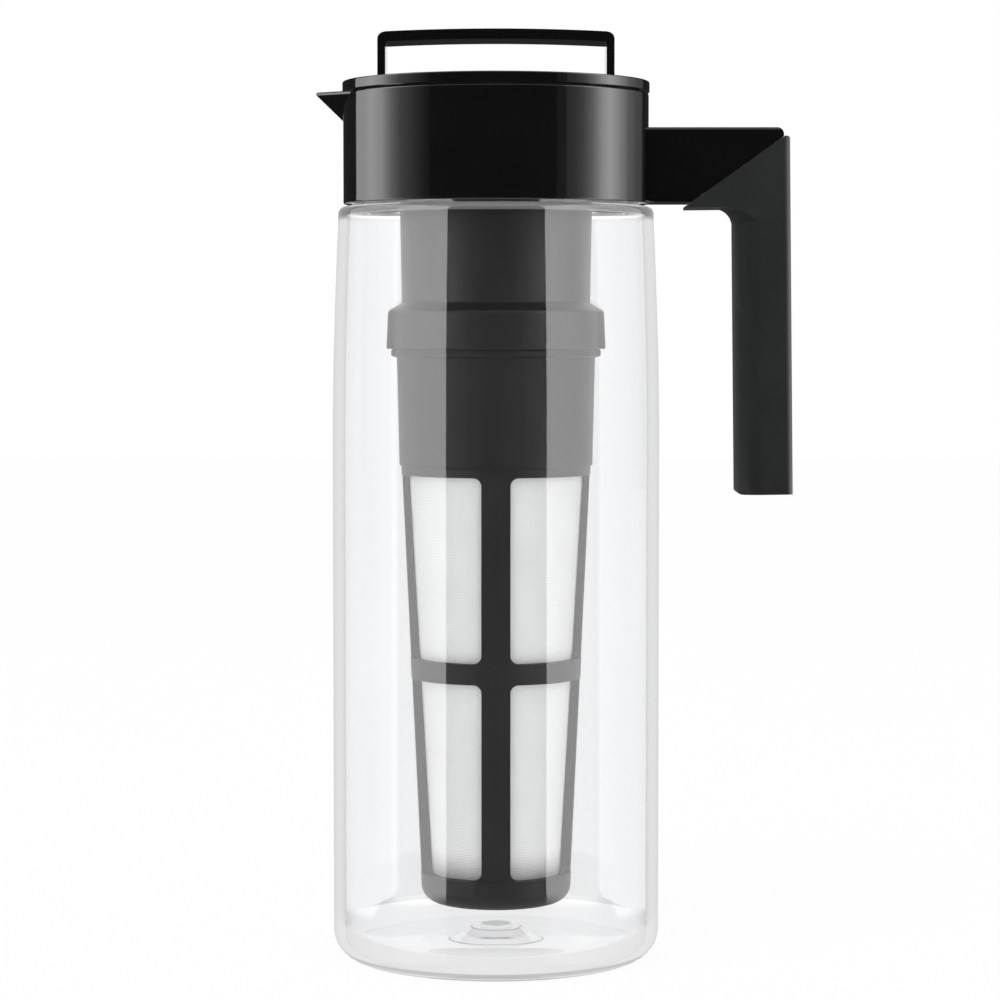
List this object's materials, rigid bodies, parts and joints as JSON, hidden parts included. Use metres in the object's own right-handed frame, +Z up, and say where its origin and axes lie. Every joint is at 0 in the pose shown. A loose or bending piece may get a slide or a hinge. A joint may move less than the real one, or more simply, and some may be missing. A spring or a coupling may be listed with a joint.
{
  "type": "cold brew coffee pitcher",
  "caption": "Clear cylindrical cold brew pitcher with a black spouted collar, side handle with a soft grip, quarter-turn lid with a bail, and a mesh filter screwed under the lid.",
  "frame": {"origin": "on the jug's axis, in the plane of its foot", "axes": "+Z up along the jug's axis, +X towards the handle, -X towards the spout"},
  "size_m": [0.1509, 0.104, 0.2953],
  "materials": {
    "clear_plastic": "clear, polished",
    "gloss_black": "high gloss",
    "soft_grip": "soft-touch matte",
    "matte_dark": "satin",
    "silicone": "matte silicone",
    "woven_mesh": "fine woven screen"
  },
  "bodies": {
    "jug": {"pitcher_body": "clear_plastic", "collar": "gloss_black", "neck_seal": "silicone", "grip_sleeve": "soft_grip"},
    "lid_ring": {"lid_seal": "silicone"},
    "lid": {"lid_cap": "gloss_black", "lid_bail": "gloss_black", "lid_plug": "matte_dark", "lid_stem": "matte_dark", "port_seal": "silicone"},
    "filter_ring": {"filter_washer": "silicone"},
    "filter": {"filter_frame": "matte_dark", "filter_mesh": "woven_mesh"}
  },
  "joints": [
    {"name": "lid_lift", "type": "slide", "parent": "jug", "child": "lid_ring", "axis": [0, 0, 1], "range_m": [0, 0.27]},
    {"name": "lid_twist", "type": "hinge", "parent": "lid_ring", "child": "lid", "pos_m": [0, 0, 0.2753], "axis": [0, 0, -1], "range_deg": [0, 90]},
    {"name": "filter_drop", "type": "slide", "parent": "lid", "child": "filter_ring", "axis": [0, 0, -1], "range_m": [0, 0.00701]},
    {"name": "filter_unscrew", "type": "hinge", "parent": "filter_ring", "child": "filter", "pos_m": [0, 0, 0.1935], "axis": [0, 0, -1], "range_deg": [0, 210]}
  ],
  "couplings": [
    {"joint": "filter_drop", "follows": "filter_unscrew", "m_per_rad": 0.0019099}
  ]
}
